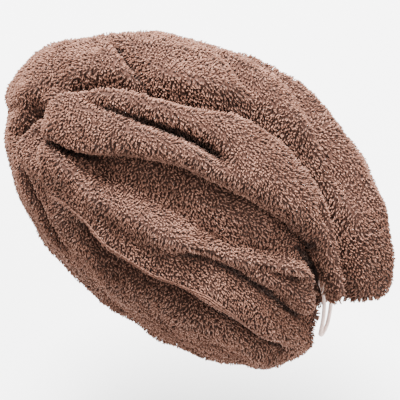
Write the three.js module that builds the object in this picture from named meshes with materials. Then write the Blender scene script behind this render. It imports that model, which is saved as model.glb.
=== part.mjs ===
// Hair turban towel, fastened as it is worn: a terry hood with its twisted tail laid back over
// the crown and held at the nape by an elastic loop on a hidden button.
// Millimetres. The wearer faces -Y, +X is the wearer's left and +Z is up. The origin is where
// the crown of the head meets the inside of the hood.
import * as THREE from 'three';

// Driving dimensions of the hollow that the head fills
const HEAD_HALF_WIDTH = 74;
const HEAD_FRONT = 113;
const HEAD_BACK = 115;
const HEAD_HEIGHT = 133;
const HEAD_CENTRE_BACK = -17;
const NAPE_SHIFT_LEFT = 22;
const WIDER_BEHIND_LEFT = 0.15;
const WIDER_BEHIND_RIGHT = 0.36;

// Driving dimensions of the cloth and its folds
const WALL = 5;
const BED_HEIGHT = 2;
const BAND_HEIGHT = 18;
const SIDE_HEIGHT = 12;
const FOLD_HEIGHT = 10;
const FOLD_WIDTH = 8.5;
const BAND_SLOPE = 11;
const LOBE_SLOPE = 5;
const HEM_DROP = 26;
const HEM_ROUND = 9;
const HEM_THICKNESS = 3;
const SEAM_HEIGHT = 1.6;
const SEAM_WIDTH = 2.4;

// Driving dimensions of the tail, the elastic loop and the button
const TAIL_THICKNESS = 17;
const TAIL_LEAST = 1.6;
const TAIL_EDGE_ROUND = 9;
const TAIL_GAP = 1.7;
const TAIL_EDGE_GAP = 5.5;
const LOOP_BAND_WIDTH = 2.6;
const LOOP_BAND_THICKNESS = 1.8;
const LOOP_FREE_LENGTH = 27;
const LOOP_SLACK = 0.9;
const BUTTON_DIAMETER = 13;
const BUTTON_THICKNESS = 2.4;
const SHANK_DIAMETER = 5;
const CLEARANCE = 0.55;

// Angles of the forehead edge (share 0 of the way along) and of the nape edge (share 1), and the
// rims in degrees round the head, from the wearer's left (0) over the crown (90) to the right (180)
const FOREHEAD_ANGLE = -80;
const NAPE_ANGLE = 78;
const FRONT_SHARE = -0.045;
const RIM_LEFT = -6;
const RIM_RIGHT = 186;

// Where the forms of the hood rise from none to all, in degrees round or in shares along
const HEM_ALONG = [0.51, 0.89];
const BAND_FALL_ROUND = [112, 160];
const BAND_FALL = 0.65;
const SIDE_FALL_ROUND = [34, 2];
const SIDE_FALL = 0.48;
const STRIPS_ALONG = [0.28, 0.25];
const SEAM_ALONG = [0.34, 0.92];
const LONG_FADE = 0.08;
const CROSS_FADE = 10;
const TAIL_FADE = 0.05;
const NARROWEST = 0.2;

// Where the fastening sits, and the way that the free end of the loop hangs
const BUTTON_ALONG = 0.915;
const BUTTON_ROUND = 88;
const LOOP_SWING = [0.74, 0.21, -0.65];
const BUTTON_ROOM = [15, 8.5];
const LOOP_ROOM = [11.5, 7.5];

// Guide lines, as [share along, degrees round]: the lower edge of the rolled band, the near
// edge of the tail, the top edge of the lobes on the left, and the seam
const BAND_EDGE = [
  [0, 40], [0.07, 50], [0.14, 61], [0.18, 67], [0.24, 79], [0.28, 84], [0.32, 88], [0.38, 93], [0.46, 96],
  [0.52, 99], [0.57, 104], [0.64, 107], [0.71, 108.5], [0.79, 107], [0.85, 103.5], [0.9, 99], [0.98, 92],
  [1, 91],
];
const TAIL_EDGE = [
  [0.26, 59], [0.31, 61], [0.36, 62], [0.41, 66], [0.45, 70], [0.49, 73], [0.54, 76], [0.6, 78],
  [0.7, 83], [0.76, 86], [0.82, 88], [0.87, 85], [0.92, 79], [1, 76],
];
const LOBE_EDGE = [
  [0, 24], [0.07, 34], [0.14, 46], [0.2, 54], [0.24, 58], [0.28, 62], [0.32, 62], [0.36, 60], [0.4, 57],
  [0.46, 57], [0.54, 59], [0.65, 61], [0.72, 67], [0.77, 73], [0.82, 81], [0.86, 83], [0.9, 79],
  [0.95, 74], [1, 73],
];
const SEAM_LINE = [
  [0.34, 40], [0.43, 42], [0.49, 40], [0.56, 40], [0.63, 42], [0.69, 44], [0.77, 40], [0.84, 34], [0.92, 32],
];

// How far the nape edge reaches back, as [degrees round, share of HEM_DROP]
const HEM_LINE = [
  [40, -0.3], [66, -0.14], [76, -0.02], [84, 0], [95, 0], [106, 0.3], [118, 0.55], [132, 0.78],
  [146, 0.92], [158, 0.85], [170, 0.55], [186, 0.35],
];

// How full the rolled cloth is, as [share along, share of its full height]
const SWELL_LINE = [
  [0, 0.6], [0.1, 0.72], [0.2, 0.95], [0.9, 1], [1, 0.9],
];

// How far the band takes to rise from its edge, as [share along, share of BAND_SLOPE]
const RISE_LINE = [
  [0.62, 1], [0.72, 0.75], [0.82, 0.5], [1, 0.5],
];

// Folds that run from the forehead to the nape. Heights are shares of FOLD_HEIGHT, widths on
// the left-hand and right-hand side are shares of FOLD_WIDTH, and line is as the guides above
const LONG_FOLDS = [
  { name: 'band outer roll', high: 0.3, left: 1.1, right: 1.2, from: 0.42, to: 0.98,
    line: [[0.4, 144], [0.5, 142], [0.58, 139], [0.64, 134], [0.7, 130], [0.78, 127], [1, 125]] },
  { name: 'band groove', high: -1.3, left: 0.7, right: 0.7, from: 0.44, to: 0.84,
    line: [[0.46, 140], [0.5, 138], [0.58, 132], [0.64, 126], [0.69, 121], [0.73, 118],
      [0.78, 115], [0.86, 109]] },
  { name: 'band inner fold', high: -0.6, left: 0.5, right: 0.6, from: 0.42, to: 0.66,
    line: [[0.46, 127], [0.5, 120], [0.56, 112], [0.6, 110]] },
  { name: 'band short fold', high: -1.3, left: 0.5, right: 0.5, from: 0.27, to: 0.47,
    line: [[0.3, 117], [0.338, 109], [0.368, 104], [0.395, 101], [0.423, 98], [0.46, 94]] },
  { name: 'band pocket', high: -0.6, left: 0.7, right: 1.2, from: 0.18, to: 0.42,
    line: [[0.18, 74], [0.24, 86], [0.31, 91], [0.35, 94], [0.4, 98]] },
  { name: 'forehead roll', high: 0.3, left: 2.6, right: 2.6, from: -0.1, to: 0.24,
    line: [[0, 96], [0.12, 104], [0.3, 112]] },
  { name: 'root swell', high: 0.6, left: 2.0, right: 0.9, from: 0.18, to: 0.42,
    line: [[0.2, 44], [0.26, 52], [0.32, 56], [0.4, 56]] },
  { name: 'lobe ridge', high: 0.5, left: 1.4, right: 0.6, from: 0.36, to: 0.97,
    line: [[0.36, 54], [0.54, 56], [0.65, 57], [0.72, 62], [0.77, 68], [0.82, 77], [0.86, 76],
      [1, 67]] },
  { name: 'lower lobe ridge', high: 0.3, left: 0.6, right: 0.5, from: 0.66, to: 0.97,
    line: [[0.66, 57], [0.77, 62], [0.82, 64], [0.88, 65], [0.94, 62], [1, 60]] },
  { name: 'lobe slot', high: -0.9, left: 0.4, right: 0.4, from: 0.68, to: 1.02,
    line: [[0.7, 60], [0.76, 65], [0.8, 69], [0.86, 74], [0.9, 72], [0.95, 69], [1, 68]] },
  { name: 'valley floor', high: 0.2, left: 1.0, right: 1.0, from: 0.38, to: 0.84,
    line: [[0.36, 62], [0.46, 66], [0.54, 69], [0.62, 70], [0.7, 75], [0.78, 81]] },
  { name: 'lobe valley', high: -1.2, left: 0.9, right: 0.9, from: 0.56, to: 1.02,
    line: [[0.56, 49], [0.62, 52], [0.67, 55], [0.73, 56], [0.81, 56], [0.88, 53], [0.95, 50], [1, 48]] },
  { name: 'seam lobe', high: 0.35, left: 0.8, right: 0.8, from: 0.40, to: 0.98,
    line: [[0.34, 41], [0.49, 41], [0.56, 40], [0.63, 42], [0.69, 43], [0.77, 40], [0.83, 36], [1, 36]] },
  { name: 'seam valley', high: -1.2, left: 0.9, right: 0.7, from: 0.36, to: 0.94,
    line: [[0.38, 35], [0.44, 35], [0.5, 32], [0.57, 34], [0.68, 36], [0.78, 33], [0.86, 28],
      [0.92, 26]] },
  { name: 'nape lobe', high: 0.6, left: 3.0, right: 2.4, from: 0.80, to: 1.20,
    line: [[0.70, 6], [1, 6]] },
];

// Creases and a roll of the strips that cross the forehead, as [degrees round, share along]
const CROSS_FOLDS = [
  { name: 'outer crease', high: -1.5, front: 0.7, back: 0.8, from: 14, to: 78,
    line: [[18, 0.36], [24, 0.32], [29, 0.278], [38, 0.228], [44, 0.19], [52, 0.185], [60, 0.193],
      [68, 0.205], [76, 0.225]] },
  { name: 'strip roll', high: 0.5, front: 0.6, back: 0.5, from: 34, to: 84,
    line: [[34, 0.27], [40, 0.24], [46, 0.222], [54, 0.222], [62, 0.228], [70, 0.238], [80, 0.258]] },
  { name: 'inner crease', high: -1.5, front: 0.6, back: 0.6, from: 46, to: 88,
    line: [[46, 0.29], [50, 0.272], [54, 0.256], [60, 0.249], [68, 0.254], [74, 0.261],
      [80, 0.276], [86, 0.294]] },
];

// How full the tail is and how round its near edge, as [share along, share of the full size]
const TAIL_SWELL = [
  [0.7, 1], [0.8, 0.97], [0.88, 0.86], [0.96, 0.78],
];
const NEAR_ROUND = [
  [0.3, 0.25], [0.36, 0.35], [0.42, 1], [0.5, 1],
];

// The tail from root to tip, and its folds as [share along, share across]
const TAIL_ROOT = 0.265;
const TAIL_ROOT_FULL = 0.3;
const TAIL_TIP_FULL = 0.90;
const TAIL_TIP = 0.965;
const TAIL_FOLDS = [
  { name: 'main lobe', high: 0.4, near: 1.5, far: 1.5, from: 0.27, to: 0.68,
    line: [[0.3, 0.34], [0.45, 0.3], [0.6, 0.16], [0.7, 0.12]] },
  { name: 'upper lobe', high: 0.35, near: 1.9, far: 1.4, from: 0.2, to: 1.1,
    line: [[0.3, 0.95], [0.4, 0.86], [0.52, 0.74], [0.6, 0.56], [0.76, 0.46], [1, 0.5]] },
  { name: 'lobe groove', high: -0.8, near: 0.5, far: 0.7, from: 0.3, to: 0.62,
    line: [[0.31, 0.9], [0.37, 0.72], [0.42, 0.62], [0.47, 0.54], [0.52, 0.46], [0.57, 0.33],
      [0.62, 0.24]] },
  { name: 'lobe notch', high: -1.1, near: 0.6, far: 0.7, from: 0.42, to: 0.61,
    line: [[0.44, 0.58], [0.47, 0.54], [0.52, 0.46], [0.57, 0.33], [0.62, 0.24]] },
  { name: 'tip groove', high: -1.0, near: 0.35, far: 0.45, from: 0.74, to: 0.9,
    line: [[0.74, 0.6], [0.78, 0.58], [0.84, 0.5], [0.9, 0.45]] },
];

// How finely the solids are divided: steps along, and round in the three fields between the
// left rim, the lobe edge, the band edge and the right rim, closer towards the two edges
const HOOD_STEPS = 56;
const FIELD_STEPS = [22, 10, 26];
const FIELD_CROWDING = [1.35, 1, 1.35];
const TAIL_STEPS = 40;
const TAIL_TOP_STEPS = 20;
const TAIL_BED_STEPS = 10;
const TAIL_END_CROWDING = 0.4;
const TAIL_EDGE_CROWDING = 0.6;
const TAIL_END_STEP = 0.35;
const LOOP_SIDES = 6;
const LOOP_STEPS = 40;
const BUTTON_SIDES = 16;

const radians = THREE.MathUtils.degToRad;
const lerp = THREE.MathUtils.lerp;

// Rises from 0 to 1 as x goes from the first value to the second
function smooth(from, to, x) {
  const t = Math.min(Math.max((x - from) / (to - from), 0), 1);
  return t * t * (3 - 2 * t);
}

// Smooth curve through the points [x, y] of a line, flat beyond its ends
function along(line, x) {
  const last = line.length - 1;
  const at = Math.min(Math.max(x, line[0][0]), line[last][0]);
  let i = 0;
  while (i < last - 1 && at >= line[i + 1][0]) i += 1;
  const slope = (a) => (line[a + 1][1] - line[a][1]) / (line[a + 1][0] - line[a][0]);
  const tangent = (a) => {
    if (a === 0) return slope(0);
    if (a === last) return slope(last - 1);
    return (slope(a - 1) + slope(a)) / 2;
  };
  const h = line[i + 1][0] - line[i][0];
  const t = (at - line[i][0]) / h;
  const t2 = t * t;
  const t3 = t2 * t;
  return (2 * t3 - 3 * t2 + 1) * line[i][1] + (t3 - 2 * t2 + t) * h * tangent(i)
    + (3 * t2 - 2 * t3) * line[i + 1][1] + (t3 - t2) * h * tangent(i + 1);
}

// One inside the range, fading out over the last stretch at either end
function gate(x, from, to, fade) {
  return smooth(from, from + fade, x) * (1 - smooth(to - fade, to, x));
}

// One on the line, falling away over the two widths on its low and its high side
function bump(distance, low, high) {
  const share = distance / (distance < 0 ? low : high);
  return Math.exp(-share * share);
}

// A quarter circle's height at a share of its radius in from the edge
function quarter(share) {
  return Math.sqrt(1 - (1 - Math.min(share, 1)) ** 2);
}

const stationAngle = (s) => radians(lerp(FOREHEAD_ANGLE, NAPE_ANGLE, s));

// Millimetres of cloth for one degree round the head, and for the whole way along it
const ROUND_LENGTH = radians(1) * ((HEAD_HALF_WIDTH + HEAD_HEIGHT) / 2 + WALL + BAND_HEIGHT);
const ALONG_LENGTH = radians(NAPE_ANGLE - FOREHEAD_ANGLE)
  * ((HEAD_FRONT + HEAD_BACK) / 2 + HEAD_HEIGHT) / 2;
const roundScale = (s) => ROUND_LENGTH * Math.max(Math.cos(stationAngle(s)), NARROWEST);

// The point that lies the given height outside the head, with the way straight out of it
function onHead(s, round, height) {
  const psi = stationAngle(s);
  const phi = radians(round);
  const reach = Math.sin(psi);
  const girth = Math.cos(psi);
  const wider = 1 + reach * (Math.cos(phi) > 0 ? WIDER_BEHIND_LEFT : WIDER_BEHIND_RIGHT);
  const behind = Math.max(reach, 0);
  const drop = HEM_DROP * along(HEM_LINE, round) * smooth(...HEM_ALONG, s);
  const half = reach < 0 ? HEAD_FRONT : HEAD_BACK + drop;
  const x = HEAD_HALF_WIDTH * wider * girth * Math.cos(phi);
  const y = half * reach;
  const z = HEAD_HEIGHT * girth * Math.sin(phi);
  const out = new THREE.Vector3(x / HEAD_HALF_WIDTH ** 2, y / half ** 2, z / HEAD_HEIGHT ** 2);
  out.normalize();
  const point = new THREE.Vector3(
    x + NAPE_SHIFT_LEFT * behind * behind, y + HEAD_CENTRE_BACK, z - HEAD_HEIGHT);
  return { point: point.addScaledVector(out, height), out };
}

// Height of the hood's cloth outside the head
function hoodHeight(s, round) {
  const scale = roundScale(s);
  const rise = BAND_SLOPE * along(RISE_LINE, s);
  const onBand = smooth(0, rise, (round - along(BAND_EDGE, s)) * scale);
  const onLobe = smooth(0, LOBE_SLOPE, (along(LOBE_EDGE, s) - round) * scale);
  const onStrips = smooth(...STRIPS_ALONG, s) * (1 - onBand) * (1 - onLobe);
  const swell = along(SWELL_LINE, s);
  let height = BED_HEIGHT;
  height += swell * BAND_HEIGHT * onBand * (1 - BAND_FALL * smooth(...BAND_FALL_ROUND, round));
  height += swell * SIDE_HEIGHT * onLobe * (1 - SIDE_FALL * smooth(...SIDE_FALL_ROUND, round));
  height += swell * SIDE_HEIGHT * onStrips;
  for (const fold of LONG_FOLDS) {
    const distance = (round - along(fold.line, s)) * scale;
    height += FOLD_HEIGHT * fold.high * gate(s, fold.from, fold.to, LONG_FADE)
      * bump(distance, fold.left * FOLD_WIDTH, fold.right * FOLD_WIDTH);
  }
  for (const fold of CROSS_FOLDS) {
    const distance = (s - along(fold.line, round)) * ALONG_LENGTH;
    height += FOLD_HEIGHT * fold.high * gate(round, fold.from, fold.to, CROSS_FADE)
      * bump(distance, fold.front * FOLD_WIDTH, fold.back * FOLD_WIDTH);
  }
  const offSeam = (round - along(SEAM_LINE, s)) * scale;
  height += SEAM_HEIGHT * gate(s, ...SEAM_ALONG, TAIL_FADE) * bump(offSeam, SEAM_WIDTH, SEAM_WIDTH);
  return WALL + Math.max(height, 0);
}

// The same height, rounded down to the hem at the four edges of the cloth
function hemmedHeight(s, round) {
  const fromRim = Math.min(round - RIM_LEFT, RIM_RIGHT - round) * roundScale(s);
  const fromEnd = Math.min(s - FRONT_SHARE, 1 - s) * ALONG_LENGTH;
  const inwards = Math.max(Math.min(fromRim, fromEnd), 0);
  return lerp(HEM_THICKNESS, hoodHeight(s, round), quarter(inwards / HEM_ROUND));
}

// The tail's middle line and half width in degrees round, and how full its ends are
function tailSpan(s) {
  const near = along(TAIL_EDGE, s);
  const far = along(BAND_EDGE, s) - TAIL_EDGE_GAP / roundScale(s);
  const tip = Math.max(s - TAIL_TIP_FULL, 0) / (TAIL_TIP - TAIL_TIP_FULL);
  const root = Math.max(TAIL_ROOT_FULL - s, 0) / (TAIL_ROOT_FULL - TAIL_ROOT);
  const full = quarter(1 - Math.max(tip, root));
  return { middle: (near + far) / 2, half: (far - near) / 2 * full, full };
}

// Height of the tail's upper face outside the head
function tailTop(s, across) {
  const { half, full } = tailSpan(s);
  const width = 2 * half * roundScale(s);
  const nearRound = Math.min(TAIL_EDGE_ROUND * along(NEAR_ROUND, s), width / 2);
  const farRound = Math.min(TAIL_EDGE_ROUND, width / 2);
  const rounding = quarter(Math.min(across * width / nearRound, (1 - across) * width / farRound));
  let height = TAIL_THICKNESS * along(TAIL_SWELL, s);
  for (const fold of TAIL_FOLDS) {
    const distance = (across - along(fold.line, s)) * width;
    height += FOLD_HEIGHT * fold.high * gate(s, fold.from, fold.to, TAIL_FADE)
      * bump(distance, fold.near * FOLD_WIDTH, fold.far * FOLD_WIDTH);
  }
  return WALL + BED_HEIGHT + TAIL_GAP + height * rounding * full;
}

// The button's seat on the hood, and the route of the loop from it to the tip of the tail
const BUTTON_SEAT = onHead(BUTTON_ALONG, BUTTON_ROUND, hoodHeight(BUTTON_ALONG, BUTTON_ROUND));
const SHANK_HEIGHT = LOOP_BAND_WIDTH + 2 * CLEARANCE;
const BUTTON_HEIGHT = CLEARANCE + SHANK_HEIGHT + BUTTON_THICKNESS;
const TIP = onHead(TAIL_TIP, BUTTON_ROUND, WALL + BED_HEIGHT + TAIL_GAP).point;
const LOOP_HALF = SHANK_DIAMETER / 2 + LOOP_SLACK + LOOP_BAND_THICKNESS / 2;
const LOOP_HEIGHT = CLEARANCE + SHANK_HEIGHT / 2;

// Height above the hood that the tail's lower face leaves for the button and the loop
function roomBelowTail(point) {
  const nearButton = smooth(...BUTTON_ROOM, point.distanceTo(BUTTON_SEAT.point));
  const route = new THREE.Line3(BUTTON_SEAT.point, TIP);
  const nearest = route.closestPointToPoint(point, false, new THREE.Vector3());
  const below = point.z < BUTTON_SEAT.point.z;
  const nearLoop = below ? smooth(...LOOP_ROOM, nearest.distanceTo(point)) : 0;
  const loopRoom = LOOP_HEIGHT + LOOP_BAND_WIDTH / 2 + CLEARANCE;
  return Math.max(nearButton * (BUTTON_HEIGHT + CLEARANCE), nearLoop * loopRoom);
}

// Height of the tail's lower face, which lies on the hood
function tailBed(s, round) {
  const bed = Math.max(hoodHeight(s, round), WALL + BED_HEIGHT) + TAIL_GAP;
  return bed + roomBelowTail(onHead(s, round, bed).point);
}

// A closed mesh from its vertices and its faces, each a list of three or four vertex numbers
function solid(name, points, faces, material) {
  const positions = [];
  for (const p of points) positions.push(p.x, p.y, p.z);
  const index = [];
  for (const face of faces) {
    for (let k = 1; k < face.length - 1; k += 1) index.push(face[0], face[k], face[k + 1]);
  }
  const geometry = new THREE.BufferGeometry();
  geometry.setAttribute('position', new THREE.Float32BufferAttribute(positions, 3));
  geometry.setIndex(index);
  geometry.computeVertexNormals();
  const mesh = new THREE.Mesh(geometry, material);
  mesh.name = name;
  return mesh;
}

// Degrees round the head of column c, spread over the three fields between the guide lines
function columnAngle(s, c) {
  const stops = [RIM_LEFT, along(LOBE_EDGE, s), along(BAND_EDGE, s), RIM_RIGHT];
  let field = 0;
  let left = c;
  while (field < 2 && left > FIELD_STEPS[field]) {
    left -= FIELD_STEPS[field];
    field += 1;
  }
  const even = left / FIELD_STEPS[field];
  const power = FIELD_CROWDING[field];
  const share = field === 0 ? 1 - (1 - even) ** power : even ** power;
  return lerp(stops[field], stops[field + 1], share);
}

// The rim of a sheet with the given rows and columns, once round, as vertex numbers
function rimLoop(first, rows, columns) {
  const at = (r, c) => first + r * (columns + 1) + c;
  const loop = [];
  for (let r = 0; r < rows; r += 1) loop.push(at(r, 0));
  for (let c = 0; c < columns; c += 1) loop.push(at(rows, c));
  for (let r = rows; r > 0; r -= 1) loop.push(at(r, columns));
  for (let c = columns; c > 0; c -= 1) loop.push(at(0, c));
  return loop;
}

// Hood: an outer sheet with every fold, a smooth inner sheet at half its fineness, and a rim
function hood(material) {
  const columns = FIELD_STEPS.reduce((sum, n) => sum + n, 0);
  const points = [];
  const faces = [];
  const sheet = (step, heightAt, outward) => {
    const first = points.length;
    const rows = HOOD_STEPS / step;
    const across = columns / step;
    for (let r = 0; r <= rows; r += 1) {
      const s = lerp(FRONT_SHARE, 1, r / rows);
      for (let c = 0; c <= across; c += 1) {
        const round = columnAngle(s, c * step);
        points.push(onHead(s, round, heightAt(s, round)).point);
      }
    }
    for (let r = 0; r < rows; r += 1) {
      for (let c = 0; c < across; c += 1) {
        const a = first + r * (across + 1) + c;
        const face = [a, a + across + 1, a + across + 2, a + 1];
        faces.push(outward ? face : face.reverse());
      }
    }
    return rimLoop(first, rows, across);
  };
  const outerRim = sheet(1, hemmedHeight, true);
  const innerRim = sheet(2, () => 0, false);
  for (let i = 0; i < innerRim.length; i += 1) {
    const a = innerRim[i];
    const b = innerRim[(i + 1) % innerRim.length];
    const p = outerRim[2 * i];
    const q = outerRim[2 * i + 1];
    const t = outerRim[(2 * i + 2) % outerRim.length];
    faces.push([p, a, q], [q, a, b], [q, b, t]);
  }
  return solid('hood', points, faces, material);
}

// Rings of equal length joined into one closed body, with a fan over each end
function rings(list, name, material) {
  const points = list.flat();
  const size = list[0].length;
  const faces = [];
  for (let r = 0; r < list.length - 1; r += 1) {
    for (let k = 0; k < size; k += 1) {
      const next = (k + 1) % size;
      faces.push([r * size + k, r * size + next, (r + 1) * size + next, (r + 1) * size + k]);
    }
  }
  const middle = (ring) => {
    const sum = new THREE.Vector3();
    for (const p of ring) sum.add(p);
    return sum.divideScalar(ring.length);
  };
  const start = points.push(middle(list[0])) - 1;
  const end = points.push(middle(list[list.length - 1])) - 1;
  const lastRing = (list.length - 1) * size;
  for (let k = 0; k < size; k += 1) {
    const next = (k + 1) % size;
    faces.push([start, next, k], [end, lastRing + k, lastRing + next]);
  }
  return solid(name, points, faces, material);
}

// Even shares from 0 to 1, drawn towards both ends
function crowded(share, crowding) {
  return lerp(share, (1 - Math.cos(Math.PI * share)) / 2, crowding);
}

// Tail: sections from the root at the forehead to the tip at the nape
function tail(material) {
  const sections = [];
  for (let r = 0; r <= TAIL_STEPS; r += 1) {
    const even = (r + TAIL_END_STEP) / (TAIL_STEPS + 2 * TAIL_END_STEP);
    const s = lerp(TAIL_ROOT, TAIL_TIP, crowded(even, TAIL_END_CROWDING));
    const { middle, half } = tailSpan(s);
    const ring = [];
    for (let k = 0; k <= TAIL_TOP_STEPS; k += 1) {
      const across = crowded(k / TAIL_TOP_STEPS, TAIL_EDGE_CROWDING);
      const round = middle + (2 * across - 1) * half;
      const height = Math.max(tailTop(s, across), tailBed(s, round) + TAIL_LEAST);
      ring.push(onHead(s, round, height).point);
    }
    for (let k = 0; k <= TAIL_BED_STEPS; k += 1) {
      const across = 1 - crowded((k + 0.5) / (TAIL_BED_STEPS + 1), TAIL_EDGE_CROWDING);
      const round = middle + (2 * across - 1) * half;
      ring.push(onHead(s, round, tailBed(s, round)).point);
    }
    sections.push(ring.reverse());
  }
  return rings(sections, 'tail', material);
}

// Elastic loop: a band bent into a long ring, round the button's shank and out past the tip
function elasticLoop(material) {
  const { point: seat, out } = BUTTON_SEAT;
  const under = TIP.clone().sub(seat);
  const down = under.addScaledVector(out, -under.dot(out)).normalize();
  const side = new THREE.Vector3().crossVectors(out, down).normalize();
  const start = seat.clone().addScaledVector(out, LOOP_HEIGHT);
  const swing = new THREE.Vector3(...LOOP_SWING).normalize();
  const bend = start.clone().addScaledVector(down, TIP.distanceTo(seat));
  const free = bend.clone().addScaledVector(swing, LOOP_FREE_LENGTH - LOOP_HALF);
  const axis = new THREE.QuadraticBezierCurve3(start, bend, free);
  const strand = axis.getLength();
  const whole = 2 * (strand + Math.PI * LOOP_HALF);
  const place = (travelled) => {
    const d = ((travelled % whole) + whole) % whole;
    const near = d < whole / 2;
    const rest = near ? d : d - whole / 2;
    const sign = near ? 1 : -1;
    if (rest < strand) {
      const share = near ? rest / strand : 1 - rest / strand;
      return axis.getPointAt(share).addScaledVector(side, sign * LOOP_HALF);
    }
    const angle = (rest - strand) / LOOP_HALF;
    const end = near ? free : start;
    const beyond = near ? swing : down.clone().negate();
    return end.clone().addScaledVector(side, sign * LOOP_HALF * Math.cos(angle))
      .addScaledVector(beyond, LOOP_HALF * Math.sin(angle));
  };
  const points = [];
  const faces = [];
  const step = whole / LOOP_STEPS;
  const total = LOOP_STEPS * LOOP_SIDES;
  for (let i = 0; i < LOOP_STEPS; i += 1) {
    const at = place(i * step);
    const tangent = place((i + 0.5) * step).sub(place((i - 0.5) * step)).normalize();
    const thick = new THREE.Vector3().crossVectors(tangent, out).normalize();
    const wide = new THREE.Vector3().crossVectors(thick, tangent).normalize();
    for (let k = 0; k < LOOP_SIDES; k += 1) {
      const a = 2 * Math.PI * k / LOOP_SIDES;
      points.push(at.clone().addScaledVector(thick, LOOP_BAND_THICKNESS / 2 * Math.cos(a))
        .addScaledVector(wide, LOOP_BAND_WIDTH / 2 * Math.sin(a)));
      const here = i * LOOP_SIDES + k;
      const beside = i * LOOP_SIDES + (k + 1) % LOOP_SIDES;
      faces.push([here, (here + LOOP_SIDES) % total, (beside + LOOP_SIDES) % total, beside]);
    }
  }
  return solid('elastic_loop', points, faces, material);
}

// Button: a plain disc on a shank that stands on the hood under the tip of the tail
function button(material) {
  const top = SHANK_HEIGHT + BUTTON_THICKNESS;
  const profile = [
    [0, 0], [SHANK_DIAMETER / 2, 0], [SHANK_DIAMETER / 2, SHANK_HEIGHT],
    [BUTTON_DIAMETER / 2, SHANK_HEIGHT], [BUTTON_DIAMETER / 2, top], [0, top],
  ];
  const outline = profile.map(([r, h]) => new THREE.Vector2(r, h));
  const mesh = new THREE.Mesh(new THREE.LatheGeometry(outline, BUTTON_SIDES), material);
  mesh.quaternion.setFromUnitVectors(new THREE.Vector3(0, 1, 0), BUTTON_SEAT.out);
  mesh.position.copy(BUTTON_SEAT.point).addScaledVector(BUTTON_SEAT.out, CLEARANCE);
  mesh.name = 'button';
  return mesh;
}

const terry = new THREE.MeshStandardMaterial({ color: 0xa98270, roughness: 0.95, metalness: 0 });
const tailTerry = terry.clone();
const elastic = new THREE.MeshStandardMaterial({
  color: 0xe3c6bd, roughness: 0.35, metalness: 0, transparent: true, opacity: 0.8,
});
const plastic = new THREE.MeshStandardMaterial({ color: 0x8a6a5c, roughness: 0.4, metalness: 0 });

const turban = new THREE.Group();
turban.add(hood(terry), tail(tailTerry), elasticLoop(elastic), button(plastic));

export default turban;
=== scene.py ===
"""Hair turban towel as it is worn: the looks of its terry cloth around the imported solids.

Metres, in the part's own frame: the wearer faces -Y, +X is the wearer's left, +Z is up, and
the origin is where the crown of the head meets the hood. The forms are worked out in
millimetres from the same sizes and tables as the solids, and placed in metres.
"""

import math

import bpy
import numpy as np
from mathutils import Matrix, Vector


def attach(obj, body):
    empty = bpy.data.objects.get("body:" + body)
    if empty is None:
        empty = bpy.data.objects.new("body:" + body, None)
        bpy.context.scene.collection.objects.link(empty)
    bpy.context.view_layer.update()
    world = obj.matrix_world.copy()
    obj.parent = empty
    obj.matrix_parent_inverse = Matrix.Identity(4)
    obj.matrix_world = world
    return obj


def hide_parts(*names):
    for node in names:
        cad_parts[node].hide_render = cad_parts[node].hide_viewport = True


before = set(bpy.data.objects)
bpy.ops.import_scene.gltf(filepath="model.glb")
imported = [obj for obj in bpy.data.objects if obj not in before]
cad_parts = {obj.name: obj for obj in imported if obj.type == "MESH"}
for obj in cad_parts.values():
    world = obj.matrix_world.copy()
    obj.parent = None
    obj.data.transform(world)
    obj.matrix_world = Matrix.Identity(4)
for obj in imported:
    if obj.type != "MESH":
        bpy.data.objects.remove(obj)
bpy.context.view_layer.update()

MM = 0.001

# Camera: the photograph looks steeply down from behind the wearer's left
VIEW_AZIMUTH = 120.0
VIEW_ELEVATION = 72.0
VIEW_DISTANCE = 1.7
PHOTO_PIXELS = 400
PIXELS_PER_METRE = 1580.0
VIEW_CENTRE = (0.0, 0.0, -0.081)
CENTRE_PIXEL = (207.0, 185.5)

# Driving dimensions of the head's hollow, in millimetres
HEAD_HALF_WIDTH = 74.0
HEAD_FRONT = 113.0
HEAD_BACK = 115.0
HEAD_HEIGHT = 133.0
HEAD_CENTRE_BACK = -17.0
NAPE_SHIFT_LEFT = 22.0
WIDER_BEHIND_LEFT = 0.15
WIDER_BEHIND_RIGHT = 0.36

# Driving dimensions of the cloth and its folds
WALL = 5.0
BED_HEIGHT = 2.0
BAND_HEIGHT = 18.0
SIDE_HEIGHT = 12.0
FOLD_HEIGHT = 10.0
FOLD_WIDTH = 8.5
BAND_SLOPE = 11.0
LOBE_SLOPE = 5.0
HEM_DROP = 26.0
HEM_ROUND = 9.0
HEM_THICKNESS = 3.0

# Driving dimensions of the tail, the elastic loop and the button
TAIL_THICKNESS = 17.0
TAIL_LEAST = 1.6
TAIL_EDGE_ROUND = 9.0
TAIL_GAP = 1.7
TAIL_EDGE_GAP = 5.5
LOOP_BAND_WIDTH = 2.6
LOOP_BAND_THICKNESS = 1.8
LOOP_FREE_LENGTH = 27.0
LOOP_SLACK = 0.9
BUTTON_DIAMETER = 13.0
BUTTON_THICKNESS = 2.4
SHANK_DIAMETER = 5.0
CLEARANCE = 0.55

# What wanders over the cloth and its pile: (how much, over how many millimetres, seed), in
# millimetres for wrinkles, puckers and lining, radians for the comb, and shares for the rest
WANDERING = {
    "hood wrinkle": (0.9, 42, 11),
    "hood pucker": (0.3, 17, 12),
    "tail wrinkle": (0.9, 42, 13),
    "tail pucker": (0.3, 17, 14),
    "lining": (0.3, 17, 15),
    "comb swing": (0.75, 48, 21),
    "comb curl": (0.45, 11, 22),
    "broad tone": (0.06, 26, 23),
    "tuft": (0.16, 7, 24),
    "fine tone": (0.07, 6, 25),
}

# The lining's height in the hollow, how far the hem's cloth lies inside its edge, and the least
# thickness of the tail's cloth
HOLLOW_LINING = 0.6
HEM_INSET = 1.0
TAIL_CLOTH_LEAST = 0.4

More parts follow.
